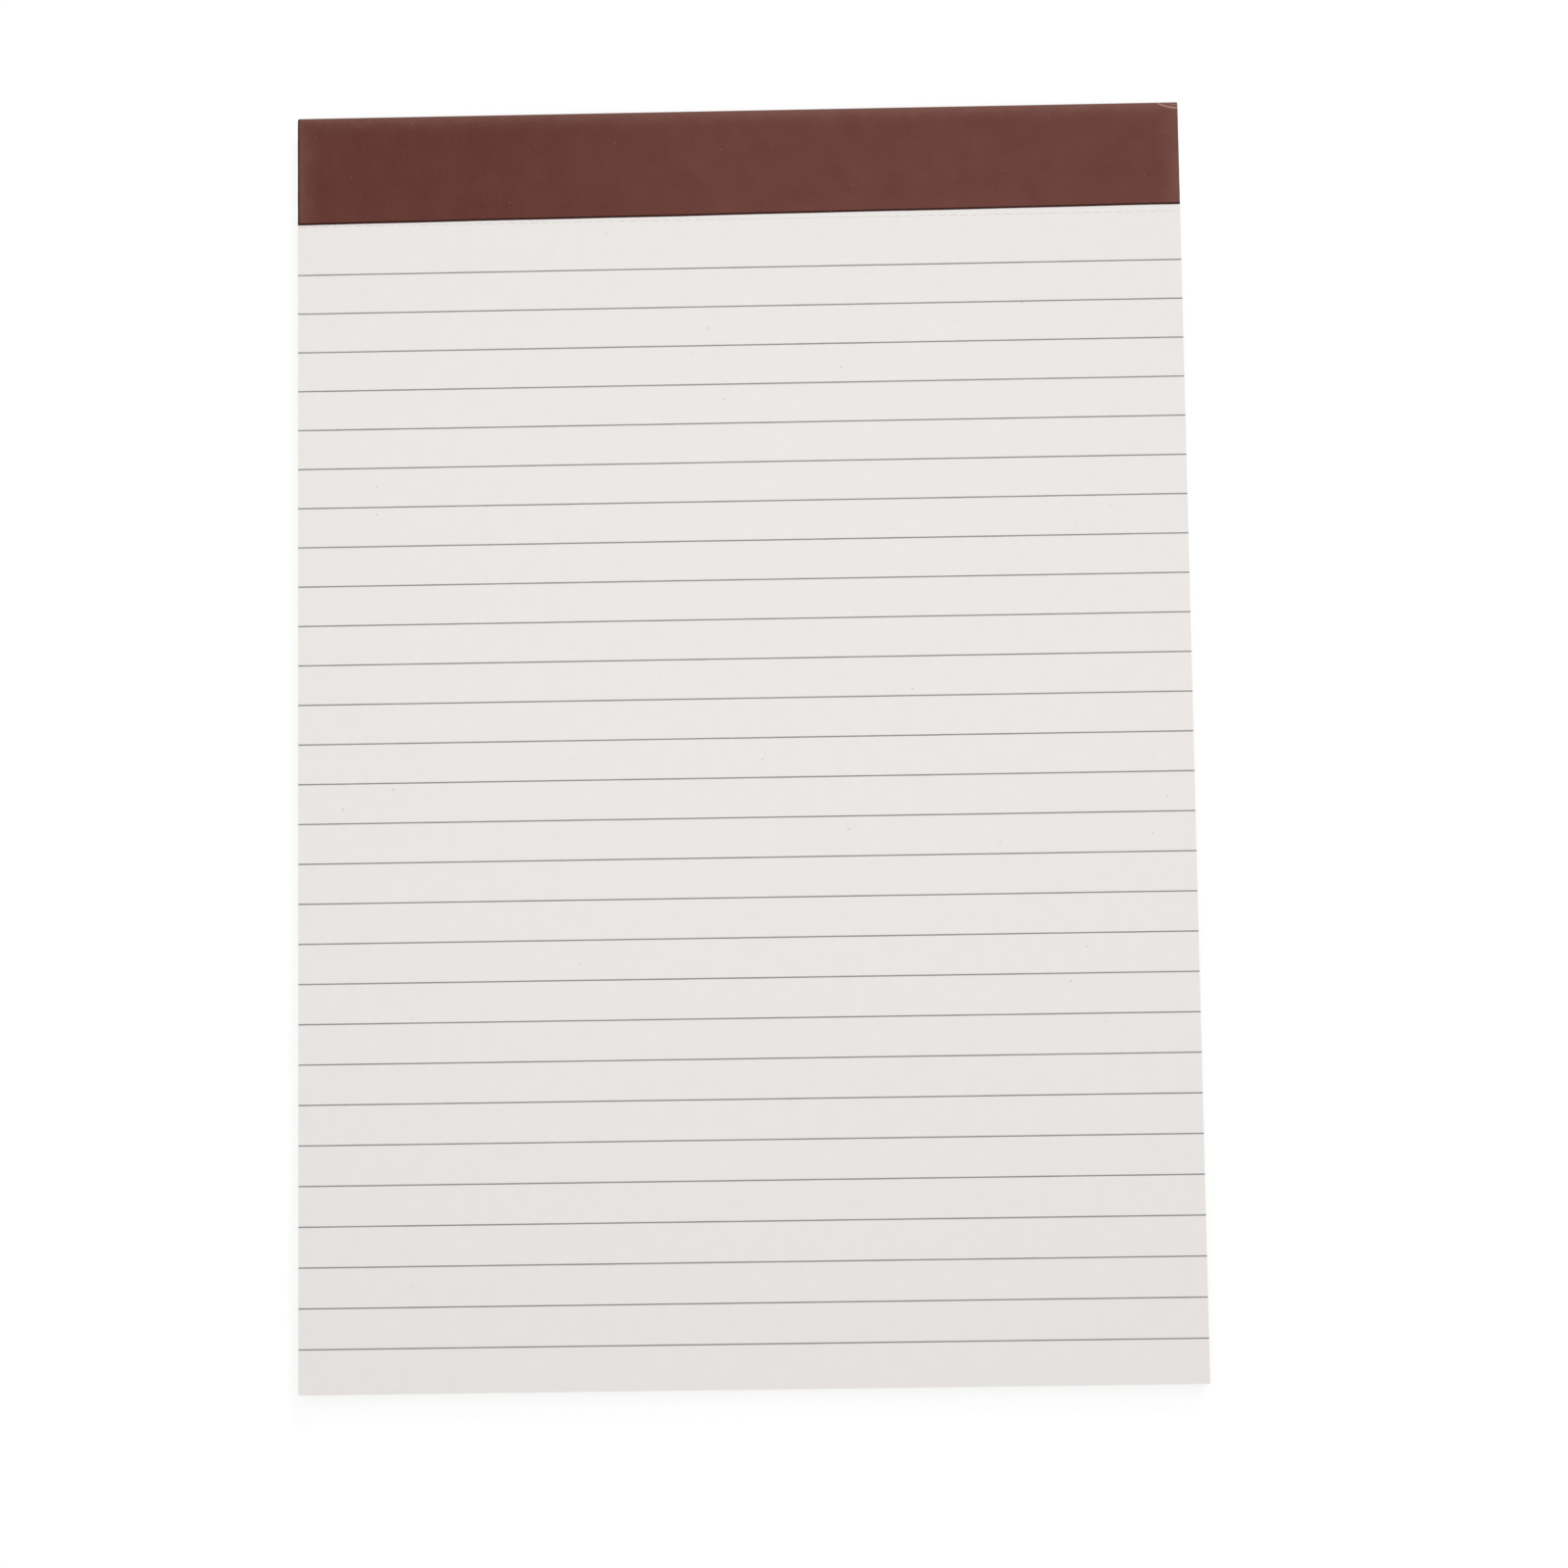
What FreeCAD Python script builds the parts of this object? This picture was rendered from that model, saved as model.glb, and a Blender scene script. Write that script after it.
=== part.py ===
import FreeCAD, Part
import math
import os
import Sketcher

# A ruled writing pad lying flat: a block of perforated sheets on a chipboard back, stitched with two
# wire staples near the head, and bound there by one strip of paper tape folded round all of it.
# Millimetres. X runs across the pad, +Y points at the head, +Z is up from the surface it lies on.
# The origin is the middle of the underside.

# Every size that can be chosen by itself: name, value, what it is.
SIZES = [
    ("pad_width", 160.0, "across the sheets"),
    ("pad_length", 230.0, "tail to head, over the tape"),
    ("sheet_count", 50, "sheets in the block"),
    ("sheet_thickness", 0.1, "one sheet of 80 gram paper"),
    ("board_thickness", 0.8, "chipboard back"),
    ("tape_thickness", 0.18, "binding tape with its adhesive"),
    ("tape_front_left", 20.0, "front flap at the left side, from the head"),
    ("tape_front_right", 19.1, "front flap at the right side, from the head"),
    ("tape_back", 18.0, "rear flap, from the head"),
    ("front_fold", 0.8, "inside radius of the tape's fold over the top sheet"),
    ("back_fold", 0.35, "inside radius of the tape's fold under the board"),
    ("rule_pitch", 7.14, "from one printed line to the next"),
    ("rule_width", 0.25, "width of a printed line"),
    ("ink_thickness", 0.02, "height of a printed line"),
    ("head_margin", 29.3, "head to the first printed line"),
    ("tail_margin", 5.0, "least plain paper between the last printed line and the tail"),
    ("perforation_gap", 0.35, "the front flap's deeper side to the tear-off perforation"),
    ("slit_length", 1.3, "one cut of the perforation, across the pad"),
    ("slit_width", 0.06, "one cut of the perforation, along the pad"),
    ("slit_pitch", 2.0, "from one cut to the next"),
    ("staple_margin", 9.0, "head to the staples"),
    ("staple_spacing", 80.0, "from one staple's middle to the other's"),
    ("staple_crown", 12.0, "across a staple, outside its legs"),
    ("wire_width", 0.6, "flattened staple wire, along the pad"),
    ("wire_height", 0.4, "flattened staple wire, in the plane of its bends"),
    ("wire_bend", 0.3, "inside radius of the wire's bends"),
    ("staple_clench", 4.5, "folded end of a leg, from the leg's outside"),
    ("staple_clearance", 0.05, "room round the wire in its seat"),
]

# What follows from the sizes: name, expression. y_ values run along the pad and z_ values upwards.
LAYOUT = [
    ("x_side", "Sizes.pad_width / 2"),
    ("y_tail", "-Sizes.pad_length / 2"),
    ("y_spine", "Sizes.pad_length / 2"),
    ("y_head", "Sizes.pad_length / 2 - Sizes.tape_thickness"),
    ("y_front_fold", "Layout.y_head - Sizes.front_fold"),
    ("y_back_fold", "Layout.y_head - Sizes.back_fold"),
    ("z_floor", "0"),
    ("z_board", "Sizes.tape_thickness"),
    ("z_back_fold", "Layout.z_board + Sizes.back_fold"),
    ("z_sheets", "Layout.z_board + Sizes.board_thickness"),
    ("block_thickness", "Sizes.sheet_count * Sizes.sheet_thickness"),
    ("z_top", "Layout.z_sheets + Layout.block_thickness"),
    ("z_front_fold", "Layout.z_top - Sizes.front_fold"),
    ("z_tape", "Layout.z_top + Sizes.tape_thickness"),
    ("front_fold_outside", "Sizes.front_fold + Sizes.tape_thickness"),
    ("back_fold_outside", "Sizes.back_fold + Sizes.tape_thickness"),
    ("y_front_left", "Layout.y_spine - Sizes.tape_front_left"),
    ("y_front_right", "Layout.y_spine - Sizes.tape_front_right"),
    ("y_front", "min(Layout.y_front_left; Layout.y_front_right)"),
    ("y_back", "Layout.y_spine - Sizes.tape_back"),
    ("y_rule_head", "Layout.y_spine - Sizes.head_margin + Sizes.rule_width / 2"),
    ("y_rule_tail", "Layout.y_rule_head - Sizes.rule_width"),
    ("ruled_length", "Sizes.pad_length - Sizes.head_margin - Sizes.tail_margin"),
    ("rule_count", "floor(Layout.ruled_length / Sizes.rule_pitch) + 1"),
    ("rules_span", "Sizes.rule_pitch * (Layout.rule_count - 1)"),
    ("slit_count", "floor((Sizes.pad_width - Sizes.slit_length) / Sizes.slit_pitch) + 1"),
    ("slits_span", "Sizes.slit_pitch * (Layout.slit_count - 1)"),
    ("x_slit", "(Layout.slits_span + Sizes.slit_length) / 2"),
    ("x_slit_end", "Layout.x_slit - Sizes.slit_length"),
    ("y_slit_head", "Layout.y_front - Sizes.perforation_gap + Sizes.slit_width / 2"),
    ("y_slit_tail", "Layout.y_slit_head - Sizes.slit_width"),
    ("staple_half_gap", "Sizes.staple_spacing / 2"),
    ("y_staple", "Layout.y_spine - Sizes.staple_margin"),
    ("x_bend", "Sizes.staple_crown / 2 - Sizes.wire_height - Sizes.wire_bend"),
    ("z_crown_bend", "Layout.z_top - Sizes.wire_height - Sizes.wire_bend"),
    ("z_clench_bend", "Layout.z_board + Sizes.wire_height + Sizes.wire_bend"),
]
# The outline of a staple, and of its seat in the sheets and the board, which has room all round.
for outline, room in (("wire", "0"), ("seat", "Sizes.staple_clearance")):
    LAYOUT += [
        (f"{outline}_outside", f"Sizes.staple_crown / 2 + {room}"),
        (f"{outline}_inside", f"Sizes.staple_crown / 2 - Sizes.wire_height - {room}"),
        (f"{outline}_tip", f"Sizes.staple_crown / 2 - Sizes.staple_clench - {room}"),
        (f"{outline}_crown_top", f"Layout.z_top + {room}"),
        (f"{outline}_crown_under", f"Layout.z_top - Sizes.wire_height - {room}"),
        (f"{outline}_clench_top", f"Layout.z_board + Sizes.wire_height + {room}"),
        (f"{outline}_clench_under", f"Layout.z_board - {room}"),
        (f"{outline}_outer_bend", f"Sizes.wire_bend + Sizes.wire_height + {room}"),
        (f"{outline}_inner_bend", f"Sizes.wire_bend - {room}"),
    ]
SIZE_NAMES = {name for name, _, _ in SIZES}
ORIGIN = -1
START, END, CENTRE = 1, 2, 3


def add_sizes(doc):
    """The spreadsheet that drives the model."""
    sheet = doc.addObject("Spreadsheet::Sheet", "Sizes")
    for row, (alias, number, note) in enumerate(SIZES, start=1):
        sheet.set(f"A{row}", alias)
        sheet.set(f"B{row}", str(number))
        sheet.set(f"C{row}", note)
        sheet.setAlias(f"B{row}", alias)
    doc.recompute()
    return sheet


def add_layout(doc):
    """The values worked out from the sizes, each written once."""
    layout = doc.addObject("App::VarSet", "Layout")
    for name, expression in LAYOUT:
        layout.addProperty("App::PropertyFloat", name)
        layout.setExpression(name, expression)
    doc.recompute()
    return layout


def reference(name):
    """A named value as an expression. A name may start with a minus sign, for the other side."""
    plain = name.removeprefix("-")
    home = "Sizes" if plain in SIZE_NAMES else "Layout"
    return name.replace(plain, f"{home}.{plain}")


class Sketch:
    """A sketch on one of a body's origin planes, whose points are held at named values."""

    def __init__(self, body, name, plane, lift="0"):
        self.shape = body.newObject("Sketcher::SketchObject", name)
        origin_plane = next(o for o in body.Origin.OriginFeatures if o.Role == plane)
        self.shape.AttachmentSupport = [(origin_plane, "")]
        self.shape.MapMode = "FlatFace"
        self.shape.setExpression(".AttachmentOffset.Base.z", lift)

    def at(self, name):
        """The number that a named value holds now."""
        return self.shape.evalExpression(reference(name))

    def point(self, names):
        return FreeCAD.Vector(self.at(names[0]), self.at(names[1]), 0)

    def size(self, kind, *where, name):
        """A driving dimension bound to a named value."""
        index = self.shape.addConstraint(Sketcher.Constraint(kind, *where, abs(self.at(name))))
        sign = "-" if self.at(name) < 0 else ""
        self.shape.setExpression(f"Constraints[{index}]", f"{sign}({reference(name)})")

    def hold(self, item, end, names):
        """Fixes one point of an item at a pair of named values."""
        for kind, name in zip(("DistanceX", "DistanceY"), names):
            if self.at(name) < 0:
                self.size(kind, item, end, ORIGIN, START, name=name)
            else:
                self.size(kind, ORIGIN, START, item, end, name=name)

    def line(self, start, end):
        return self.shape.addGeometry(Part.LineSegment(self.point(start), self.point(end)), False)

    def arc(self, start, end, centre, radius):
        """An arc that turns anticlockwise, of a named radius, and the number of the item."""
        middle = self.point(centre)
        turns = [self.point(names) - middle for names in (start, end)]
        first, last = (math.atan2(turn.y, turn.x) for turn in turns)
        circle = Part.Circle(middle, FreeCAD.Vector(0, 0, 1), self.at(radius))
        item = self.shape.addGeometry(Part.ArcOfCircle(circle, first, last), False)
        self.size("Radius", item, name=radius)
        return item

    def outline(self, corners, arcs=()):
        """A closed run of lines through the corners. arcs gives, for a corner's number, the centre and
        radius of the arc that leads on from it, and whether the arc turns anticlockwise."""
        arcs = dict(arcs)
        following = corners[1:] + corners[:1]
        ends = []
        for number, (start, end) in enumerate(zip(corners, following)):
            if number not in arcs:
                ends.append((self.line(start, end), START, END))
                continue
            centre, radius, anticlockwise = arcs[number]
            if anticlockwise:
                ends.append((self.arc(start, end, centre, radius), START, END))
            else:
                ends.append((self.arc(end, start, centre, radius), END, START))
        for (item, _, far), (onward, near, _), corner in zip(ends, ends[1:] + ends[:1], following):
            self.shape.addConstraint(Sketcher.Constraint("Coincident", item, far, onward, near))
            self.hold(item, far, corner)
        return self.shape

    def box(self, left, right, low, high):
        return self.outline([(left, low), (right, low), (right, high), (left, high)])


def add_body(doc, label):
    body = doc.addObject("PartDesign::Body", label)
    body.Label = label
    return body


def pad_middle(body, name, profile, length):
    """Pads a profile by the same length to both sides of its plane."""
    pad = body.newObject("PartDesign::Pad", name)
    pad.Profile = profile
    pad.Midplane = True
    pad.setExpression("Length", length)
    return pad


def pad_up(body, name, profile, height):
    """Pads a flat outline upwards."""
    pad = body.newObject("PartDesign::Pad", name)
    pad.Profile = profile
    pad.setExpression("Length", height)
    return pad


def repeat(body, feature, name, axis, span, count, backwards=False):
    """Repeats a feature in a row along an origin axis."""
    row = body.newObject("PartDesign::LinearPattern", name)
    row.Originals = [feature]
    row.Direction = (next(o for o in body.Origin.OriginFeatures if o.Role == axis), [""])
    row.Reversed = backwards
    row.setExpression("Length", span)
    row.setExpression("Occurrences", count)
    body.Tip = row
    return row


def mirrored(corners):
    """The same corners on the pad's other side, in the other order."""
    return [(f"-{x}", z) for x, z in reversed(corners)]


def staple_outline(body, kind, half_gap):
    """A closed staple seen from the tail, its crown above and its clenched ends below. kind is wire or
    seat."""
    sketch = Sketch(body, f"staple_{kind}", "XZ_Plane", "-Layout.y_staple")
    sketch.shape.setExpression(".AttachmentOffset.Base.x", half_gap)
    outside = [
        (f"{kind}_tip", f"{kind}_clench_under"),
        ("x_bend", f"{kind}_clench_under"),
        (f"{kind}_outside", "z_clench_bend"),
        (f"{kind}_outside", "z_crown_bend"),
        ("x_bend", f"{kind}_crown_top"),
    ]
    inside = [
        ("x_bend", f"{kind}_crown_under"),
        (f"{kind}_inside", "z_crown_bend"),
        (f"{kind}_inside", "z_clench_bend"),
        ("x_bend", f"{kind}_clench_top"),
        (f"{kind}_tip", f"{kind}_clench_top"),
    ]
    bends = {}
    for radius, anticlockwise, right_low, right_high, left_high, left_low in (
        (f"{kind}_outer_bend", True, 1, 3, 5, 7),
        (f"{kind}_inner_bend", False, 17, 15, 13, 11),
    ):
        bends[right_low] = (("x_bend", "z_clench_bend"), radius, anticlockwise)
        bends[right_high] = (("x_bend", "z_crown_bend"), radius, anticlockwise)
        bends[left_high] = (("-x_bend", "z_crown_bend"), radius, anticlockwise)
        bends[left_low] = (("-x_bend", "z_clench_bend"), radius, anticlockwise)
    return sketch.outline(outside + mirrored(outside) + mirrored(inside) + inside, bends)


def cut_staple_seats(body):
    """Seats for both staples: holes for the legs, and grooves that the crown and the ends lie in."""
    seat = body.newObject("PartDesign::Pocket", "seat")
    seat.Profile = staple_outline(body, "seat", "Layout.staple_half_gap")
    seat.Midplane = True
    seat.setExpression("Length", "Sizes.wire_width + 2 * Sizes.staple_clearance")
    both = body.newObject("PartDesign::Mirrored", "other_seat")
    both.Originals = [seat]
    mirror = next(o for o in body.Origin.OriginFeatures if o.Role == "YZ_Plane")
    both.MirrorPlane = (mirror, [""])
    body.Tip = both


def make_page_block(doc):
    """The sheets as one block, rounded under the tape's fold, stitched and perforated below the tape."""
    body = add_body(doc, "page_block")
    side = Sketch(body, "side_profile", "YZ_Plane")
    corners = [
        ("y_tail", "z_sheets"),
        ("y_head", "z_sheets"),
        ("y_head", "z_front_fold"),
        ("y_front_fold", "z_top"),
        ("y_tail", "z_top"),
    ]
    side.outline(corners, {2: (("y_front_fold", "z_front_fold"), "front_fold", True)})
    pad_middle(body, "sheets", side.shape, "Sizes.pad_width")
    cut_staple_seats(body)
    outline = Sketch(body, "slit_outline", "XY_Plane", "Layout.z_top")
    slit = body.newObject("PartDesign::Pocket", "slit")
    slit.Profile = outline.box("-x_slit", "-x_slit_end", "y_slit_tail", "y_slit_head")
    slit.setExpression("Length", "Layout.block_thickness")
    repeat(body, slit, "perforation", "X_Axis", "Layout.slits_span", "Layout.slit_count")
    return body


def make_ruled_lines(doc):
    """The printed lines of the top sheet, edge to edge, as thin strips of ink on the paper."""
    body = add_body(doc, "ruled_lines")
    strip = Sketch(body, "line_outline", "XY_Plane", "Layout.z_top")
    strip.box("-x_side", "x_side", "y_rule_tail", "y_rule_head")
    line = pad_up(body, "line", strip.shape, "Sizes.ink_thickness")
    repeat(body, line, "ruling", "Y_Axis", "Layout.rules_span", "Layout.rule_count", backwards=True)
    return body


def make_backing_board(doc):
    """The chipboard back, rounded under the tape's fold, with grooves for the clenched staple ends."""
    body = add_body(doc, "backing_board")
    side = Sketch(body, "side_profile", "YZ_Plane")
    corners = [
        ("y_tail", "z_board"),
        ("y_back_fold", "z_board"),
        ("y_head", "z_back_fold"),
        ("y_head", "z_sheets"),
        ("y_tail", "z_sheets"),
    ]
    side.outline(corners, {1: (("y_back_fold", "z_back_fold"), "back_fold", True)})
    pad_middle(body, "board", side.shape, "Sizes.pad_width")
    cut_staple_seats(body)
    return body


def make_binding_tape(doc):
    """One strip of tape: rear flap, spine, and a front flap whose edge is cut slightly askew."""
    body = add_body(doc, "binding_tape")
    side = Sketch(body, "side_profile", "YZ_Plane")
    corners = [
        ("y_back", "z_floor"),
        ("y_back_fold", "z_floor"),
        ("y_spine", "z_back_fold"),
        ("y_spine", "z_front_fold"),
        ("y_front_fold", "z_tape"),
        ("y_front_fold", "z_top"),
        ("y_head", "z_front_fold"),
        ("y_head", "z_back_fold"),
        ("y_back_fold", "z_board"),
        ("y_back", "z_board"),
    ]
    folds = {
        1: (("y_back_fold", "z_back_fold"), "back_fold_outside", True),
        3: (("y_front_fold", "z_front_fold"), "front_fold_outside", True),
        5: (("y_front_fold", "z_front_fold"), "front_fold", False),
        7: (("y_back_fold", "z_back_fold"), "back_fold", False),
    }
    side.outline(corners, folds)
    pad_middle(body, "folded_strip", side.shape, "Sizes.pad_width")
    flap = Sketch(body, "flap_outline", "XY_Plane", "Layout.z_top")
    flap.outline(
        [
            ("-x_side", "y_front_left"),
            ("x_side", "y_front_right"),
            ("x_side", "y_front_fold"),
            ("-x_side", "y_front_fold"),
        ]
    )
    pad_up(body, "front_flap", flap.shape, "Sizes.tape_thickness")
    return body


def make_staple(doc, label, side):
    """One wire staple, closed: its crown under the front flap and its clenched ends under the rear one."""
    body = add_body(doc, label)
    pad_middle(body, "staple", staple_outline(body, "wire", "0"), "Sizes.wire_width")
    body.setExpression(".Placement.Base.x", f"{side} * Layout.staple_half_gap")
    return body


def check(doc, bodies):
    """Stops if any feature failed, any cut took nothing away or any sub-part isn't a sound solid."""
    for item in doc.Objects:
        if "Invalid" in item.State or "Error" in item.State:
            raise RuntimeError(f"{item.Name} failed: {item.State}")
        if item.TypeId == "PartDesign::Pocket" and item.Shape.Volume >= item.BaseFeature.Shape.Volume:
            raise RuntimeError(f"{item.Name} cuts nothing")
    for body in bodies:
        if body.Shape.isNull() or not body.Shape.isValid() or not body.Shape.Solids:
            raise RuntimeError(f"{body.Label} has no sound shape")


def main():
    doc = FreeCAD.newDocument("legal_pad")
    add_sizes(doc)
    add_layout(doc)
    bodies = [
        make_page_block(doc),
        make_ruled_lines(doc),
        make_backing_board(doc),
        make_binding_tape(doc),
        make_staple(doc, "staple_left", -1),
        make_staple(doc, "staple_right", 1),
    ]
    doc.recompute()
    check(doc, bodies)
    os.makedirs("parts", exist_ok=True)
    for body in bodies:
        body.Shape.exportStep(f"parts/{body.Label}.step")
        print(body.Label, len(body.Shape.Solids), "solids", round(body.Shape.Volume, 3), "mm3")


main()
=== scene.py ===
import math
import random

import bmesh
import bpy
from mathutils import Matrix, Vector


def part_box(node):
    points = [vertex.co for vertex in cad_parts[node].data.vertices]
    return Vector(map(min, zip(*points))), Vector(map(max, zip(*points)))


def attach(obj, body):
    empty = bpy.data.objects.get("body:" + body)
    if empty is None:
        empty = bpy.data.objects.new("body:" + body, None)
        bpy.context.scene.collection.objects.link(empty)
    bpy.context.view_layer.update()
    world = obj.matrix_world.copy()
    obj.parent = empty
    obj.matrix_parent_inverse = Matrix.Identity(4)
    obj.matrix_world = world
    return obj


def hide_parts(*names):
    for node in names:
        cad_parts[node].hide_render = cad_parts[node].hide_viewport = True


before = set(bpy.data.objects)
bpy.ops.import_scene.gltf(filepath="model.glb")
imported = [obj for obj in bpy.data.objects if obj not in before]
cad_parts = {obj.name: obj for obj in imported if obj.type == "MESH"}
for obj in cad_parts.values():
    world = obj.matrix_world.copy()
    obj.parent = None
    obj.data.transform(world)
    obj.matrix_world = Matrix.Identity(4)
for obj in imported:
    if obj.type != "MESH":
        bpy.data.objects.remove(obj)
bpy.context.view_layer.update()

# A ruled writing pad lying flat, seen from above. Lengths are millimetres on the frame's axes: X runs
# across the pad, +Y points at its taped head and +Z is up. A mesh is scaled to metres when it is made.
MM = 0.001
random.seed(7)


def node_box(node):
    low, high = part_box(node)
    return low / MM, high / MM


# Places that the pad's solids give.
PAGES_LOW, PAGES_HIGH = node_box("page_block")
BOARD_LOW, _ = node_box("backing_board")
_, TAPE_HIGH = node_box("binding_tape")
RULES_LOW, RULES_HIGH = node_box("ruled_lines")
X_SIDE = PAGES_HIGH.x
Y_TAIL = PAGES_LOW.y
Y_HEAD = PAGES_HIGH.y
Y_SPINE = TAPE_HIGH.y
Z_BOARD = BOARD_LOW.z
Z_SHEETS = PAGES_LOW.z
Z_TOP = PAGES_HIGH.z

# The sheets. The first few have loosened, and stand up a little at the tail's left corner.
SHEET_COUNT = 50
SHEET = (Z_TOP - Z_SHEETS) / SHEET_COUNT
CURLS = (0.28, 0.21, 0.15, 0.10, 0.05, 0.02)
CURL_REACH = 48.0
CURL_ACROSS, CURL_ALONG = 0.8, 0.6
LEAF_GAP = 0.006
TRIM_SPREAD = 0.012
TRIM_STEP = 0.05
STEP_CHANCE = 0.08
EDGE_WAVER = 0.006

# The groove between two sheets' edges, and the shares of a sheet's height between which its edge stands.
GROOVE = 0.03
EDGE_LOW, EDGE_HIGH = 0.2, 0.85

# How far apart the meshes' points lie. Near the head, where the surfaces bend, they lie closer: these
# rows are depths from the spine.
BLOCK_SPACING = 5.0
LEAF_SPACING = 6.0
STRIP_SPACING = 4.0
HEAD_REACH = 5.0
SHEET_ROWS = (4.0, 3.0, 2.3, 1.7, 1.3)
BLOCK_ROWS = (HEAD_REACH, 3.5, 2.5, 1.8, 1.3, 0.98)

# The printed lines.
RULE_COUNT = 28
RULE_WIDTH = 0.25
RULE_WAVER = 0.01
RULE_HEIGHT = 0.016
RULE_BED = 0.004
RULE_PITCH = (RULES_HIGH.y - RULES_LOW.y - RULE_WIDTH) / (RULE_COUNT - 1)
Y_FIRST_RULE = RULES_HIGH.y - RULE_WIDTH / 2

# The tape, and how it presses the sheets down near the head. Each wave of its front edge is a height, a
# length and a start.
TAPE = Y_SPINE - Y_HEAD
FRONT_FOLD = 0.8
BACK_FOLD = 0.35
FLAP_LEFT = 20.0
FLAP_RIGHT = 19.1
FLAP_BACK = 18.0
FLAP_WAVES = ((0.018, 9.0, 0.0), (0.012, 3.7, 1.0))
PRESS = 0.16
PRESS_REACH = 4.0
PRESS_POWER = 2.5

# The tape's cut edges. Each is rounded over, down to a share of the thickness, in its outermost rows.
# A band along the front edge and the left end is painted darker, as painted shade. The ends are a little
# uneven.
CUT_RADIUS = 0.16
CUT_LEFT = 0.3
CUT_ROWS = 4
FRONT_SHADE_BAND = 0.33
LEFT_SHADE_BAND = 0.27
UNEVEN_END = 0.012

# The points of the tape's mesh. Its rows, from front to back, are distances from the front edge, depths
# from the spine, heights on the spine, depths from the spine again and distances from the rear edge.
# Its columns are distances from an end. A fold has a row at each turn.
FLAP_RUNS = (0.0, 0.03, 0.08, 0.15, 0.25, 0.34, 0.7, 1.6, 3.0, 5.0, 7.0, 9.0, 11.0, 13.0, 15.0)
FOLD_DEPTHS = (4.4, 3.8, 3.3, 2.8, 2.4, 2.1, 1.9, 1.75, 1.6, 1.45, 1.3, 1.15)
SPINE_HEIGHTS = (4.4, 3.4, 2.4, 1.4)
REAR_DEPTHS = (2.0, 5.0, 8.0, 11.0, 14.0)
REAR_RUNS = (1.5, 0.5, 0.15, 0.08, 0.03, 0.0)
END_RUNS = (0.0, 0.03, 0.08, 0.16, 0.28)
PAST_END = 2.0
BEFORE_END = 0.3
FRONT_TURN = math.pi / 22
BACK_TURN = math.pi / 12

# The perforation, cut through the top sheet just below the tape.
PERFORATION_GAP = 0.35
SLIT_LENGTH = 1.3
SLIT_WIDTH = 0.06
SLIT_PITCH = 2.0
SLIT_COUNT = 80

# A crease in the tape where its right end was folded down: two arcs about one centre, a ridge along the
# first and a pale line along each. They fade in past the crease's start, and the lines fade out over the
# fold, between two depths below the top.
CREASE_CENTRE = Vector((80.5, 122.3, 0.0))
CREASE_RADIUS = 8.66
FAINT_CREASE_RADIUS = 8.0
CREASE_RIDGE = 0.03
CREASE_WIDTH = 0.18
CREASE_START = 75.6
CREASE_SPACING = 0.22
RIDGE_FADE = 1.5
LINE_FADE = 1.2
LINE_WIDTH = 0.2
FAINT_LINE_WIDTH = 0.15
LINE_LOW, LINE_HIGH = 0.6, 0.2

# The tape's looks: where its colour turns from a painted shade on the left to a painted sheen on the
# right, and how far from the spine, from the top and from the ends it is paler, with painted sheen and
# some rubbing.
PAINTED_SHADE_X, PAINTED_SHEEN_X = -55.0, 5.0
SHEEN_WEAR_DEPTH_START, SHEEN_WEAR_DEPTH_FULL = 4.0, 0.3
SHEEN_WEAR_LOW, SHEEN_WEAR_HIGH = 1.0, 0.3
END_SHEEN_WEAR = 4.5

# The board's edge: heights above its underside, and how far the edge draws in there.
BOARD_EDGE = ((0.0, 0.11), (0.03, 0.04), (0.1, 0.0), (0.4, 0.0), (0.7, 0.0), (0.77, 0.03), (0.8, 0.09))
BOARD_WAVER = 0.015
BOARD_ROOM = 0.005

# The staples' seats in the sheets and the board.
STAPLE_X = 40.0
STAPLE_Y = Y_SPINE - 9.0
STAPLE_OUTSIDE = 6.05
STAPLE_INSIDE = 5.55
STAPLE_TIP = 1.45
SEAT_HALF_WIDTH = 0.35
SEAT_ROOM = 0.05
WIRE = 0.4

# Each piece's material slots: its faces and its cut edges. On the tape the second slot also holds a band
# of painted shade.
FACE, EDGE = 0, 1


def srgb(red, green, blue):
    """A linear colour from its display values, 0 to 255."""

    def linear(level):
        level /= 255
        return level / 12.92 if level <= 0.04045 else ((level + 0.055) / 1.055) ** 2.4

    return (linear(red), linear(green), linear(blue), 1.0)


# The pad's shape.


def settled(y, z):
    """The height of a point of the sheets or the tape, once the tape has pressed the head end down."""
    reach = max(0.0, PRESS_REACH - (Y_SPINE - y)) / PRESS_REACH
    share = max(0.0, z - Z_SHEETS) / (Z_TOP - Z_SHEETS)
    return z - PRESS * reach**PRESS_POWER * share


def curl(x, y):
    """From 1 at the tail's left corner to 0 where the loosened sheets lie flat."""
    reach = (x + X_SIDE) * CURL_ACROSS + (y - Y_TAIL) * CURL_ALONG
    return max(0.0, 1 - reach / CURL_REACH) ** 2


def sheet_top(x, y):
    """The height of the top sheet's face."""
    return settled(y, Z_TOP) + CURLS[0] * curl(x, y)


def head_limit(z):
    """How far the sheets reach to the head at a height, inside the tape's front fold."""
    rise = z - (Z_TOP - FRONT_FOLD)
    if rise <= 0:
        return Y_HEAD
    return Y_HEAD - FRONT_FOLD + math.sqrt(max(0.0, FRONT_FOLD**2 - rise**2))


def flap_edge(x):
    """Where the front flap ends: a cut slightly askew, with a slight waver."""
    share = (x + X_SIDE) / (2 * X_SIDE)
    waver = sum(height * math.sin(x / length + start) for height, length, start in FLAP_WAVES)
    return Y_SPINE - FLAP_LEFT + share * (FLAP_LEFT - FLAP_RIGHT) + waver


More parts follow.
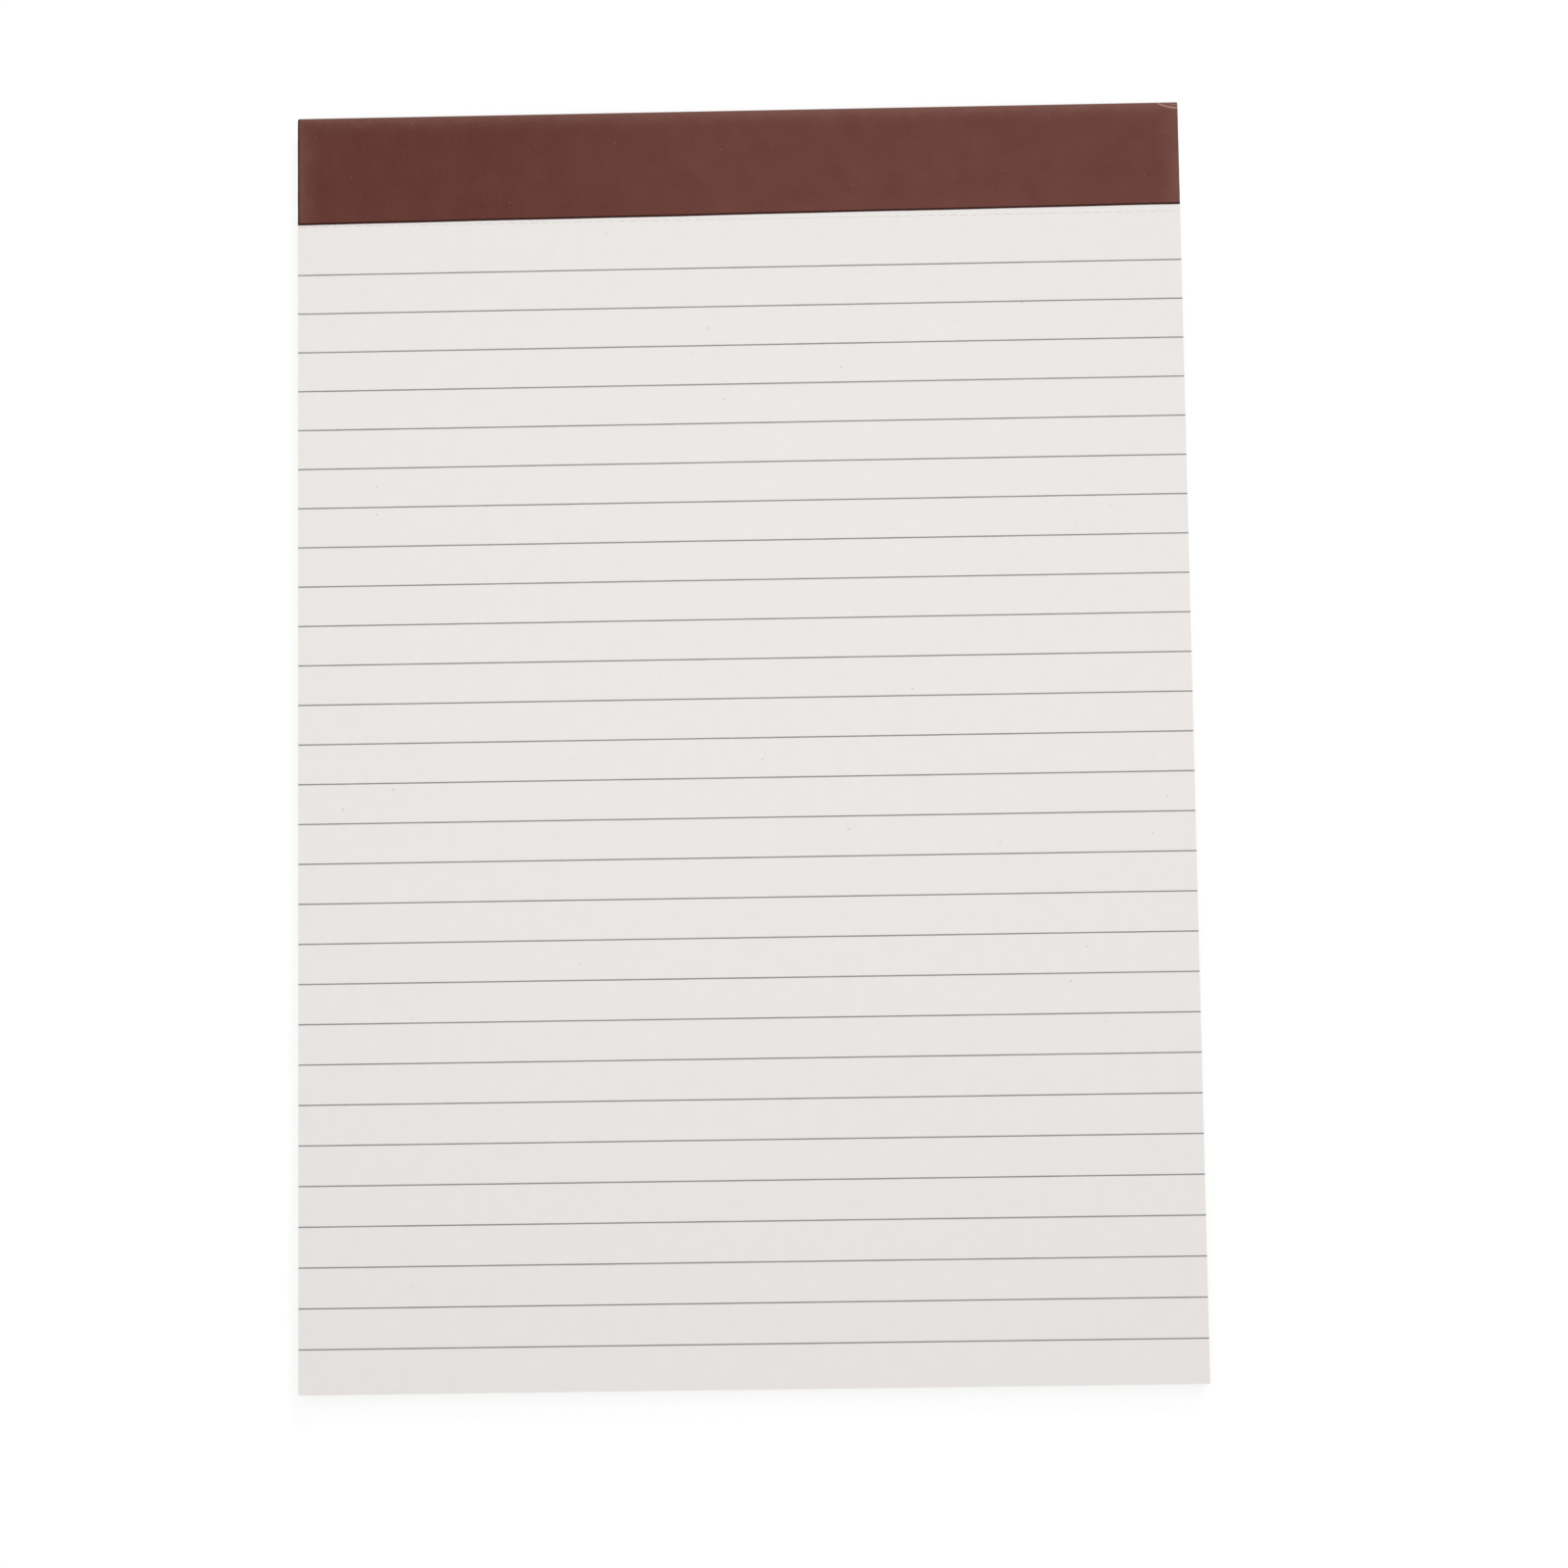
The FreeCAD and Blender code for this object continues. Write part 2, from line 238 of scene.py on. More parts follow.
def steps(start, end, spacing):
    """Stations from start to end, evenly apart, no wider than spacing."""
    count = max(1, math.ceil(abs(end - start) / spacing - 1e-6))
    return [start + (end - start) * k / count for k in range(count + 1)]


def add_slab(bm, columns, rows, over, under, open_cells=frozenset()):
    """A closed slab of quads. over and under give its upper and lower point at a column and a row."""
    uppers = {}
    lowers = {}
    for i in range(columns):
        for j in range(rows):
            uppers[i, j] = bm.verts.new(over(i, j))
            lowers[i, j] = bm.verts.new(under(i, j))

    def solid(i, j):
        inside = 0 <= i < columns - 1 and 0 <= j < rows - 1
        return inside and (i, j) not in open_cells

    for i in range(columns - 1):
        for j in range(rows - 1):
            if not solid(i, j):
                continue
            ring = ((i, j), (i + 1, j), (i + 1, j + 1), (i, j + 1))
            bm.faces.new([uppers[corner] for corner in ring])
            bm.faces.new([lowers[corner] for corner in reversed(ring)])
            beside = ((i, j - 1), (i + 1, j), (i, j + 1), (i - 1, j))
            for start, end, neighbour in zip(ring, ring[1:] + ring[:1], beside):
                if not solid(*neighbour):
                    wall = bm.faces.new((uppers[end], uppers[start], lowers[start], lowers[end]))
                    wall.material_index = EDGE


# The outline of the sheets and the board from above, anticlockwise from the tail's left corner.
OUTLINE_XS = steps(-X_SIDE, X_SIDE, BLOCK_SPACING)
OUTLINE_YS = steps(Y_TAIL, Y_SPINE - HEAD_REACH, BLOCK_SPACING)[:-1]
OUTLINE_YS += [Y_SPINE - depth for depth in BLOCK_ROWS] + [Y_HEAD]
OUTLINE = (
    [(x, Y_TAIL) for x in OUTLINE_XS]
    + [(X_SIDE, y) for y in OUTLINE_YS[1:]]
    + [(x, Y_HEAD) for x in reversed(OUTLINE_XS[:-1])]
    + [(-X_SIDE, y) for y in reversed(OUTLINE_YS[1:-1])]
)


def add_block(bm, levels):
    """A closed block with upright sides. Each level is a height, how far the left, right, tail and head
    sides stand out there, and how far the edge wavers."""
    loops = []
    for z, (left, right, tail, head), waver in levels:
        loop = []
        for x, y in OUTLINE:
            place_x, place_y = x, y
            if x in (-X_SIDE, X_SIDE):
                place_x += (right if x > 0 else -left) + random.uniform(-waver, waver)
            if y in (Y_TAIL, Y_HEAD):
                place_y += (head if y > 0 else -tail) + random.uniform(-waver, 0)
            loop.append(bm.verts.new((place_x, place_y, settled(place_y, z))))
        loops.append(loop)
    count = len(OUTLINE)
    for lower, upper in zip(loops, loops[1:]):
        for k in range(count):
            following = (k + 1) % count
            wall = bm.faces.new((lower[k], lower[following], upper[following], upper[k]))
            wall.material_index = EDGE
    across, along = len(OUTLINE_XS), len(OUTLINE_YS)
    for loop in (loops[0], loops[-1]):
        rights = [loop[across - 1 + j] for j in range(along)]
        lefts = [loop[-j % count] for j in range(along)]
        bm.faces.new(loop[:across] + [rights[1], lefts[1]])
        for j in range(1, along - 2):
            bm.faces.new((lefts[j], rights[j], rights[j + 1], lefts[j + 1]))
        head_row = loop[across + along - 2 : 2 * across + along - 2]
        bm.faces.new([lefts[-2], rights[-2]] + head_row)


def make_piece(name, bm, materials, slot, *nodes):
    """Turns a mesh made in millimetres into a piece that rides with the pad, and hides the nodes that it
    stands for.
    """
    bmesh.ops.recalc_face_normals(bm, faces=bm.faces)
    bmesh.ops.scale(bm, vec=(MM, MM, MM), verts=bm.verts)
    mesh = bpy.data.meshes.new(name)
    bm.to_mesh(mesh)
    bm.free()
    for material in materials:
        mesh.materials.append(material)
    piece = bpy.data.objects.new(name, mesh)
    bpy.context.scene.collection.objects.link(piece)
    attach(piece, "root")
    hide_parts(*nodes)
    return piece


def staple_cutter():
    """Both staples with room round them, as one mesh to cut their seats with."""
    half_outline = [
        (STAPLE_TIP, Z_BOARD - SEAT_ROOM),
        (STAPLE_OUTSIDE, Z_BOARD - SEAT_ROOM),
        (STAPLE_OUTSIDE, Z_TOP + SEAT_ROOM),
    ]
    half_inside = [
        (STAPLE_INSIDE, Z_TOP - WIRE - SEAT_ROOM),
        (STAPLE_INSIDE, Z_BOARD + WIRE + SEAT_ROOM),
        (STAPLE_TIP, Z_BOARD + WIRE + SEAT_ROOM),
    ]
    other_outline = [(-x, z) for x, z in reversed(half_outline)]
    other_inside = [(-x, z) for x, z in reversed(half_inside)]
    ring = half_outline + other_outline + other_inside + half_inside
    bm = bmesh.new()
    for middle in (-STAPLE_X, STAPLE_X):
        ends = []
        for y in (STAPLE_Y - SEAT_HALF_WIDTH, STAPLE_Y + SEAT_HALF_WIDTH):
            ends.append([bm.verts.new((middle + x, y, z)) for x, z in ring])
        near, far = ends
        bm.faces.new(near)
        bm.faces.new(reversed(far))
        for k in range(len(ring)):
            following = (k + 1) % len(ring)
            bm.faces.new((near[following], near[k], far[k], far[following]))
    bmesh.ops.recalc_face_normals(bm, faces=bm.faces)
    bmesh.ops.scale(bm, vec=(MM, MM, MM), verts=bm.verts)
    mesh = bpy.data.meshes.new("staple_seats")
    bm.to_mesh(mesh)
    bm.free()
    cutter = bpy.data.objects.new("staple_seats", mesh)
    bpy.context.scene.collection.objects.link(cutter)
    return cutter


def cut_seats(pieces):
    """Cuts the staples' seats out of the pieces, and takes the cutter away again."""
    cutter = staple_cutter()
    for piece in pieces:
        seats = piece.modifiers.new("staple_seats", "BOOLEAN")
        seats.operation = "DIFFERENCE"
        seats.solver = "EXACT"
        seats.object = cutter
    bpy.context.view_layer.update()
    graph = bpy.context.evaluated_depsgraph_get()
    for piece in pieces:
        cut = bpy.data.meshes.new_from_object(piece.evaluated_get(graph))
        piece.modifiers.clear()
        whole = piece.data
        name = whole.name
        piece.data = cut
        bpy.data.meshes.remove(whole)
        cut.name = name
    mesh = cutter.data
    bpy.data.objects.remove(cutter)
    bpy.data.meshes.remove(mesh)


def leaf_trims():
    """How far one sheet's left, right, tail and head edges stand out from the block's sides."""
    trims = [random.gauss(0, TRIM_SPREAD) for _ in range(3)]
    if random.random() < STEP_CHANCE:
        trims[random.randrange(3)] += random.choice((-TRIM_STEP, TRIM_STEP))
    return trims + [-abs(random.gauss(0, TRIM_SPREAD))]


def make_ruled_top_sheet(materials):
    """The written sheet, perforated below the tape."""
    slit_start = -((SLIT_COUNT - 1) * SLIT_PITCH + SLIT_LENGTH) / 2
    xs = [-X_SIDE]
    for k in range(SLIT_COUNT):
        xs += [slit_start + k * SLIT_PITCH, slit_start + k * SLIT_PITCH + SLIT_LENGTH]
    xs.append(X_SIDE)
    y_slit = Y_SPINE - FLAP_LEFT - PERFORATION_GAP
    ys = steps(Y_TAIL, y_slit - SLIT_WIDTH / 2, BLOCK_SPACING)
    slit_row = len(ys) - 1
    ys += steps(y_slit + SLIT_WIDTH / 2, Y_SPINE - HEAD_REACH, BLOCK_SPACING)
    ys += [Y_SPINE - depth for depth in SHEET_ROWS] + [head_limit(Z_TOP)]
    slits = {(2 * k + 1, slit_row) for k in range(SLIT_COUNT)}
    bm = bmesh.new()
    add_slab(
        bm,
        len(xs),
        len(ys),
        lambda i, j: (xs[i], ys[j], sheet_top(xs[i], ys[j])),
        lambda i, j: (xs[i], ys[j], sheet_top(xs[i], ys[j]) - SHEET + LEAF_GAP),
        slits,
    )
    return make_piece("ruled_top_sheet", bm, materials, "writing_paper", "page_block")


def make_upper_sheets(materials):
    """The next few sheets, each loosened a little less than the one above."""
    bm = bmesh.new()
    for number, rise in enumerate(CURLS[1:], start=1):
        left, right, tail, head = leaf_trims()
        z_top = Z_TOP - number * SHEET
        xs = [-X_SIDE - left] + steps(-X_SIDE, X_SIDE, LEAF_SPACING)[1:-1] + [X_SIDE + right]
        ys = [Y_TAIL - tail] + steps(Y_TAIL, Y_SPINE - HEAD_REACH, LEAF_SPACING)[1:]
        ys += [Y_SPINE - depth for depth in SHEET_ROWS] + [head_limit(z_top) + head]

        def over(i, j):
            return (xs[i], ys[j], settled(ys[j], z_top) + rise * curl(xs[i], ys[j]))

        def under(i, j):
            x, y, z = over(i, j)
            return (x, y, z - SHEET + LEAF_GAP)

        add_slab(bm, len(xs), len(ys), over, under)
    return make_piece("upper_sheets", bm, materials, "writing_paper", "page_block")


def make_sheet_stack(materials):
    """The other sheets, with the edge of every sheet in the block's sides."""
    levels = []
    grooved = (-GROOVE, -GROOVE, -GROOVE, -GROOVE)
    for number in range(SHEET_COUNT - len(CURLS)):
        z = Z_SHEETS + number * SHEET
        trims = leaf_trims()
        trims[3] += head_limit(z + SHEET) - Y_HEAD
        levels.append((z, grooved if number else trims, 0.0))
        levels.append((z + EDGE_LOW * SHEET, trims, EDGE_WAVER))
        levels.append((z + EDGE_HIGH * SHEET, trims, EDGE_WAVER))
    levels.append((Z_TOP - len(CURLS) * SHEET, grooved, 0.0))
    bm = bmesh.new()
    add_block(bm, levels)
    return make_piece("sheet_stack", bm, materials, "writing_paper", "page_block")


def make_printed_rules(materials):
    """The printed lines, as thin strips of ink that follow the top sheet."""
    bm = bmesh.new()
    xs = steps(-X_SIDE, X_SIDE, STRIP_SPACING)
    for number in range(RULE_COUNT):
        middle = Y_FIRST_RULE - number * RULE_PITCH
        sides = []
        for _ in xs:
            lower = middle - (RULE_WIDTH / 2 + random.uniform(-RULE_WAVER, RULE_WAVER))
            upper = middle + (RULE_WIDTH / 2 + random.uniform(-RULE_WAVER, RULE_WAVER))
            sides.append((lower, upper))
        add_slab(
            bm,
            len(xs),
            2,
            lambda i, j: (xs[i], sides[i][j], sheet_top(xs[i], sides[i][j]) + RULE_HEIGHT),
            lambda i, j: (xs[i], sides[i][j], sheet_top(xs[i], sides[i][j]) - RULE_BED),
        )
    return make_piece("printed_rules", bm, materials, "printing_ink", "ruled_lines")


def make_chipboard_back(materials):
    """The stiff back, its edges softened by the trimming knife, rounded under the tape's rear fold."""
    levels = []
    for rise, inset in BOARD_EDGE:
        head = inset
        if rise < BACK_FOLD:
            head = BACK_FOLD - math.sqrt(BACK_FOLD**2 - (BACK_FOLD - rise) ** 2) + BOARD_ROOM
        levels.append((Z_BOARD + rise, (-inset, -inset, -inset, -head), BOARD_WAVER))
    bm = bmesh.new()
    add_block(bm, levels)
    return make_piece("chipboard_back", bm, materials, "chipboard", "backing_board")


def tape_section():
    """The tape's inner face from its front edge round the spine to its rear edge. Each row is a share, a
    place and the outward direction. A row with a share lies that far along the front flap's flat."""
    rows = [(run / FLAP_RUNS[-1], 0.0, Z_TOP, 0.0, 1.0) for run in FLAP_RUNS]
    for depth in FOLD_DEPTHS:
        rows.append((None, Y_SPINE - depth, Z_TOP, 0.0, 1.0))
    for turn in steps(0, math.pi / 2, FRONT_TURN):
        out, up = math.sin(turn), math.cos(turn)
        y = Y_HEAD - FRONT_FOLD + FRONT_FOLD * out
        rows.append((None, y, Z_TOP - FRONT_FOLD + FRONT_FOLD * up, out, up))
    for z in SPINE_HEIGHTS:
        rows.append((None, Y_HEAD, z, 1.0, 0.0))
    for turn in steps(0, math.pi / 2, BACK_TURN):
        out, up = math.cos(turn), -math.sin(turn)
        y = Y_HEAD - BACK_FOLD + BACK_FOLD * out
        rows.append((None, y, Z_BOARD + BACK_FOLD + BACK_FOLD * up, out, up))
    for depth in REAR_DEPTHS + tuple(FLAP_BACK - run for run in REAR_RUNS):
        rows.append((None, Y_SPINE - depth, Z_BOARD, 0.0, -1.0))
    return rows


def rounded(run):
    """The share of the tape's thickness at a distance from a cut edge."""
    if run >= CUT_RADIUS:
        return 1.0
    return CUT_LEFT + (1 - CUT_LEFT) * math.sqrt(1 - (1 - max(0.0, run) / CUT_RADIUS) ** 2)


def make_binding_tape_strip(materials):
    """The tape: front flap cut askew, folds, spine and rear flap, creased at its right end."""
    rows = tape_section()
    xs = [-X_SIDE + run for run in END_RUNS]
    xs += steps(-X_SIDE + PAST_END, CREASE_START, STRIP_SPACING)
    xs += steps(CREASE_START, X_SIDE - BEFORE_END, CREASE_SPACING)[1:]
    xs += [X_SIDE - run for run in reversed(END_RUNS)]
    uneven = [random.uniform(-UNEVEN_END, UNEVEN_END) for _ in rows]
    last = len(rows) - 1

    def under(i, j):
        share, y, z, _, _ = rows[j]
        x = xs[i]
        if share is not None:
            y = flap_edge(x) + share * (Y_SPINE - HEAD_REACH - flap_edge(x))
        if i in (0, len(xs) - 1):
            x += uneven[j]
        return (x, y, settled(y, z))

    def over(i, j):
        x, y, z = under(i, j)
        _, _, _, out, up = rows[j]
        thickness = TAPE * rounded(X_SIDE - abs(xs[i]))
        if j <= CUT_ROWS:
            thickness *= rounded(y - flap_edge(x))
        if j >= last - CUT_ROWS:
            thickness *= rounded(FLAP_BACK - (Y_SPINE - y))
        # The crease runs out where the fold turns down.
        if up > 0.5:
            away = math.hypot(x - CREASE_CENTRE.x, y + TAPE * out - CREASE_CENTRE.y)
            fade = min(1.0, max(0.0, (x - CREASE_START) / RIDGE_FADE))
            off = (away - CREASE_RADIUS) / CREASE_WIDTH
            thickness += CREASE_RIDGE * fade * math.exp(-(off**2))
        return (x, y + thickness * out, z + thickness * up)

    bm = bmesh.new()
    add_slab(bm, len(xs), len(rows), over, under)
    # Top faces in a thin band along the front edge and the left end take the dark cut-edge material as
    # painted shade.
    for face in bm.faces:
        middle = face.calc_center_median()
        at_front = middle.z > Z_TOP and middle.y - flap_edge(middle.x) < FRONT_SHADE_BAND
        if at_front or middle.x + X_SIDE < LEFT_SHADE_BAND:
            face.material_index = EDGE
    piece = make_piece("binding_tape_strip", bm, materials, "paper_tape", "binding_tape")
    for face in piece.data.polygons:
        face.use_smooth = face.material_index == FACE
    return piece


# Materials.


class Nodes:
    """Adds nodes to one tree. An input is given by its name or number, as a plain value or a socket."""

    def __init__(self, tree):
        self.tree = tree

    def add(self, kind, inputs, **settings):
        node = self.tree.nodes.new(kind)
        for name, value in settings.items():
            setattr(node, name, value)
        for name, value in inputs.items():
            if isinstance(value, bpy.types.NodeSocket):
                self.tree.links.new(value, node.inputs[name])
            else:
                node.inputs[name].default_value = value
        return node

    def math(self, operation, *values, clamp=False):
        node = self.add("ShaderNodeMath", dict(enumerate(values)), operation=operation, use_clamp=clamp)
        return node.outputs[0]

    def vector(self, operation, inputs):
        node = self.add("ShaderNodeVectorMath", inputs, operation=operation)
        return node.outputs["Value"] if operation in ("DISTANCE", "LENGTH") else node.outputs["Vector"]

    def ramp(self, value, low, high, to_low=0.0, to_high=1.0, smooth=False):
        """value carried from one range to another, held at its ends."""
        inputs = {"Value": value, "From Min": low, "From Max": high, "To Min": to_low, "To Max": to_high}
        kind = "SMOOTHSTEP" if smooth else "LINEAR"
        return self.add("ShaderNodeMapRange", inputs, interpolation_type=kind).outputs[0]

    def mix(self, share, first, second):
        """first at a share of 0, second at 1."""
        inputs = {0: share, 6: first, 7: second}
        return self.add("ShaderNodeMix", inputs, data_type="RGBA").outputs[2]

    def place(self):
        """The place on the pad in millimetres."""
        place = self.add("ShaderNodeTexCoord", {}).outputs["Object"]
        return self.vector("SCALE", {0: place, "Scale": 1 / MM})

    def group(self, effect, inputs):
        return self.add("ShaderNodeGroup", inputs, node_tree=effect).outputs

    def bump(self, height, depth, strength=1.0):
        """A normal from a height that runs from 0 to 1 over a depth in millimetres."""
        inputs = {"Height": height, "Distance": depth * MM, "Strength": strength}
        return self.add("ShaderNodeBump", inputs).outputs[0]


def new_effect(name, inputs, outputs):
    """An empty node group with named inputs and outputs. Each input is its socket kind and value."""
    tree = bpy.data.node_groups.new(name, "ShaderNodeTree")
    for label, (kind, value) in inputs.items():
        socket = tree.interface.new_socket(name=label, in_out="INPUT", socket_type=f"NodeSocket{kind}")
        if value is not None:
            socket.default_value = value
    for label in outputs:
        tree.interface.new_socket(name=label, in_out="OUTPUT", socket_type="NodeSocketFloat")
    nodes = Nodes(tree)
    given = nodes.add("NodeGroupInput", {}).outputs
    return nodes, given


def make_mottle():
    """Soft cloudy variation. Tone runs from 0 to 1 about a middle of 0.5."""
    inputs = {
        "Place": ("Vector", None),
        "Cloud size": ("Float", 1.0),
        "Detail": ("Float", 3.0),
        "Spread": ("Float", 0.22),
    }
    nodes, given = new_effect("Mottle", inputs, ["Tone"])
    share = nodes.math("DIVIDE", 1.0, given["Cloud size"])
    place = nodes.vector("SCALE", {0: given["Place"], "Scale": share})
    cloud = nodes.add("ShaderNodeTexNoise", {"Vector": place, "Scale": 1.0, "Detail": given["Detail"]})
    low = nodes.math("SUBTRACT", 0.5, given["Spread"])
    high = nodes.math("ADD", 0.5, given["Spread"])
    nodes.add("NodeGroupOutput", {"Tone": nodes.ramp(cloud.outputs[0], low, high)})
    return nodes.tree


def make_specks():
    """Small round specks, scattered. Mask is 1 inside a speck."""
    inputs = {
        "Place": ("Vector", None),
        "Spacing": ("Float", 2.0),
        "Radius": ("Float", 0.15),
        "Share": ("Float", 0.1),
    }
    nodes, given = new_effect("Specks", inputs, ["Mask"])
    spacing = nodes.math("DIVIDE", 1.0, given["Spacing"])
    place = nodes.vector("SCALE", {0: given["Place"], "Scale": spacing})
    cells = nodes.add("ShaderNodeTexVoronoi", {"Vector": place, "Scale": 1.0})
    away = nodes.math("MULTIPLY", cells.outputs["Distance"], given["Spacing"])
    soft = nodes.math("MULTIPLY", given["Radius"], 0.5)
    inside = nodes.ramp(away, given["Radius"], soft)
    pick = nodes.add("ShaderNodeSeparateColor", {"Color": cells.outputs["Color"]}).outputs[0]
    chosen = nodes.math("LESS_THAN", pick, given["Share"])
    nodes.add("NodeGroupOutput", {"Mask": nodes.math("MULTIPLY", inside, chosen)})
    return nodes.tree


def make_cut_layers():
    """The thin layers that show where a stack or a board is cut: long along it, fine through it."""
    inputs = {
        "Place": ("Vector", None),
        "Layer": ("Float", 0.1),
        "Length": ("Float", 25.0),
    }
    nodes, given = new_effect("Cut layers", inputs, ["Tone"])
    along = nodes.math("DIVIDE", 1.0, given["Length"])
    through = nodes.math("DIVIDE", 1.0, given["Layer"])
    stretch = nodes.add("ShaderNodeCombineXYZ", {"X": along, "Y": along, "Z": through}).outputs[0]
    place = nodes.vector("MULTIPLY", {0: given["Place"], 1: stretch})
    layers = nodes.add("ShaderNodeTexNoise", {"Vector": place, "Scale": 1.0, "Detail": 2.0})
    nodes.add("NodeGroupOutput", {"Tone": nodes.ramp(layers.outputs[0], 0.3, 0.7)})
    return nodes.tree


def make_rubbing():
    """Wear that follows a given band and breaks up at its border. Mask is 1 where it is rubbed."""
    inputs = {
        "Place": ("Vector", None),
        "Band": ("Float", 0.0),
        "Patch size": ("Float", 0.5),
    }
    nodes, given = new_effect("Rubbing", inputs, ["Mask"])
    share = nodes.math("DIVIDE", 1.0, given["Patch size"])
    place = nodes.vector("SCALE", {0: given["Place"], "Scale": share})
    patches = nodes.add("ShaderNodeTexNoise", {"Vector": place, "Scale": 1.0, "Detail": 4.0})
    level = nodes.math("SUBTRACT", 1.0, given["Band"])
    above = nodes.math("SUBTRACT", patches.outputs[0], nodes.math("MULTIPLY", level, 0.75))
    nodes.add("NodeGroupOutput", {"Mask": nodes.ramp(above, -0.05, 0.35)})
    return nodes.tree


def make_fibres():
    """Short hair-like fibres lying every way. Mask is 1 on a fibre."""
    inputs = {
        "Place": ("Vector", None),
        "Curl": ("Float", 3.0),
        "Width": ("Float", 0.01),
        "Share": ("Float", 0.4),
    }
    nodes, given = new_effect("Fibres", inputs, ["Mask"])
    share = nodes.math("DIVIDE", 1.0, given["Curl"])
    place = nodes.vector("SCALE", {0: given["Place"], "Scale": share})
    field = nodes.add(
        "ShaderNodeTexNoise", {"Vector": place, "Scale": 1.0, "Detail": 1.0, "Distortion": 1.5}
    )
    off = nodes.math("ABSOLUTE", nodes.math("SUBTRACT", field.outputs[0], 0.5))
    line = nodes.ramp(off, given["Width"], nodes.math("MULTIPLY", given["Width"], 0.3))
    elsewhere = nodes.vector("ADD", {0: place, 1: (17.0, 31.0, 5.0)})
    pieces = nodes.add("ShaderNodeTexNoise", {"Vector": elsewhere, "Scale": 2.0, "Detail": 1.0})
    lack = nodes.math("SUBTRACT", 1.0, given["Share"])
    low = nodes.math("MULTIPLY_ADD", lack, 0.5, 0.25)
    kept = nodes.ramp(pieces.outputs[0], low, nodes.math("ADD", low, 0.06))
    nodes.add("NodeGroupOutput", {"Mask": nodes.math("MULTIPLY", line, kept)})
    return nodes.tree


MOTTLE = make_mottle()
SPECKS = make_specks()
CUT_LAYERS = make_cut_layers()
RUBBING = make_rubbing()
FIBRES = make_fibres()


def new_material(name):
    """A material, the means to add nodes to it, and its shader."""
    material = bpy.data.materials.new(name)
    material.use_nodes = True
    shader = material.node_tree.nodes["Principled BSDF"]
    return material, Nodes(material.node_tree), shader


def finish(nodes, shader, **looks):
    """Gives the shader its inputs, named with _ for a blank."""
    for name, value in looks.items():
        socket = shader.inputs[name.replace("_", " ")]
        if isinstance(value, bpy.types.NodeSocket):
            nodes.tree.links.new(value, socket)
        else:
            socket.default_value = value


def paper_face():
    """Uncoated off-white writing paper: faintly cloudy, with a fibrous tooth and a few specks."""
    material, nodes, shader = new_material("writing_paper_face")
    place = nodes.place()
    clouds = nodes.group(MOTTLE, {"Place": place, "Cloud size": 3.0, "Detail": 5.0})["Tone"]
    tooth = nodes.group(MOTTLE, {"Place": place, "Cloud size": 0.25, "Detail": 4.0})["Tone"]
    specks = nodes.group(SPECKS, {"Place": place, "Spacing": 3.0, "Radius": 0.22, "Share": 0.09})["Mask"]
    tone = nodes.mix(clouds, srgb(234, 230, 227), srgb(237, 233, 230))
    grain = nodes.mix(nodes.ramp(tooth, 0, 1, 0, 0.5), tone, srgb(239, 235, 232))
    colour = nodes.mix(nodes.math("MULTIPLY", specks, 0.4), grain, srgb(150, 138, 128))
    roughness = nodes.ramp(tooth, 0, 1, 0.78, 0.9)
    height = nodes.math("ADD", tooth, nodes.math("MULTIPLY", clouds, 0.6))
    finish(
        nodes,
        shader,
        Base_Color=colour,
        Roughness=roughness,
        Normal=nodes.bump(height, 0.004),
        Specular_IOR_Level=0.15,
    )
    return material


def paper_edge():
    """The cut edges of the sheets: layered, and marked where the printed lines run off the paper."""
    material, nodes, shader = new_material("writing_paper_edge")
    place = nodes.place()
    layers = nodes.group(CUT_LAYERS, {"Place": place, "Layer": 0.1, "Length": 30.0})["Tone"]
    burr = nodes.group(CUT_LAYERS, {"Place": place, "Layer": 0.05, "Length": 0.4})["Tone"]
    handled = nodes.group(MOTTLE, {"Place": place, "Cloud size": 14.0, "Detail": 3.0})["Tone"]
    paper = nodes.mix(layers, srgb(222, 218, 213), srgb(240, 237, 233))
    cut = nodes.mix(nodes.math("MULTIPLY", burr, 0.25), paper, srgb(212, 207, 200))
    soiled = nodes.mix(nodes.math("MULTIPLY", handled, 0.25), cut, srgb(222, 214, 203))
    y = nodes.add("ShaderNodeSeparateXYZ", {0: place}).outputs["Y"]
    run = nodes.math("DIVIDE", nodes.math("SUBTRACT", Y_FIRST_RULE, y), RULE_PITCH)
    nearest = nodes.math("ABSOLUTE", nodes.math("SUBTRACT", run, nodes.math("ROUND", run)))
    on_line = nodes.ramp(nearest, RULE_WIDTH / RULE_PITCH, RULE_WIDTH / RULE_PITCH / 2)
    from_middle = nodes.math("ABSOLUTE", nodes.math("SUBTRACT", run, (RULE_COUNT - 1) / 2))
    ruled = nodes.math("LESS_THAN", from_middle, RULE_COUNT / 2)
    print_marks = nodes.math("MULTIPLY", on_line, ruled)
    patchy = nodes.math("MULTIPLY", print_marks, nodes.ramp(layers, 0.2, 0.9, 0.05, 0.35))
    finish(
        nodes,
        shader,
        Base_Color=nodes.mix(patchy, soiled, srgb(120, 118, 116)),
        Roughness=nodes.ramp(burr, 0, 1, 0.82, 0.94),
        Normal=nodes.bump(nodes.math("ADD", layers, burr), 0.008),
        Specular_IOR_Level=0.1,
    )
    return material


